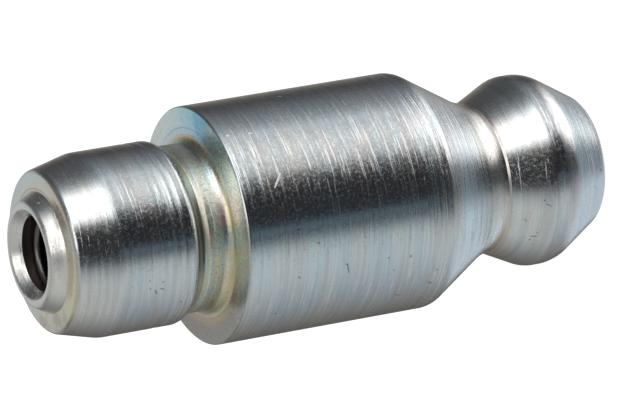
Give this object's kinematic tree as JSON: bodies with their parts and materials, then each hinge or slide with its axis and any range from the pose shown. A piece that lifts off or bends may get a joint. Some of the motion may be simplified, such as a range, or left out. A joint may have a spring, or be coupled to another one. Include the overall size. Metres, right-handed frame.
{
  "type": "grease nipple",
  "caption": "Straight drive-in grease nipple: conical coupler head, round body with a shoulder, press-in shank with crimped lip, spring-loaded check ball.",
  "frame": {"origin": "centre of the flat face at the head's tip, which the fitting stands on", "axes": "+Z along the axis from the head to the end of the shank; round about Z, so X and Y are free"},
  "size_m": [0.008, 0.008, 0.0205],
  "materials": {
    "plated_steel": "zinc plated turned steel, bluish passivation, fine turning lines",
    "ball_steel": "polished hardened steel",
    "spring_wire": "drawn spring wire"
  },
  "bodies": {
    "fitting": {"body": "plated_steel", "spring": "spring_wire"},
    "ball": {"check_ball": "ball_steel"}
  },
  "joints": [
    {"name": "ball_lift", "type": "slide", "parent": "fitting", "child": "ball", "axis": [0, 0, 1], "range_m": [0, 0.001], "stiffness_N_per_m": 1900, "springref_m": -0.0005, "deforming": ["spring"]}
  ]
}
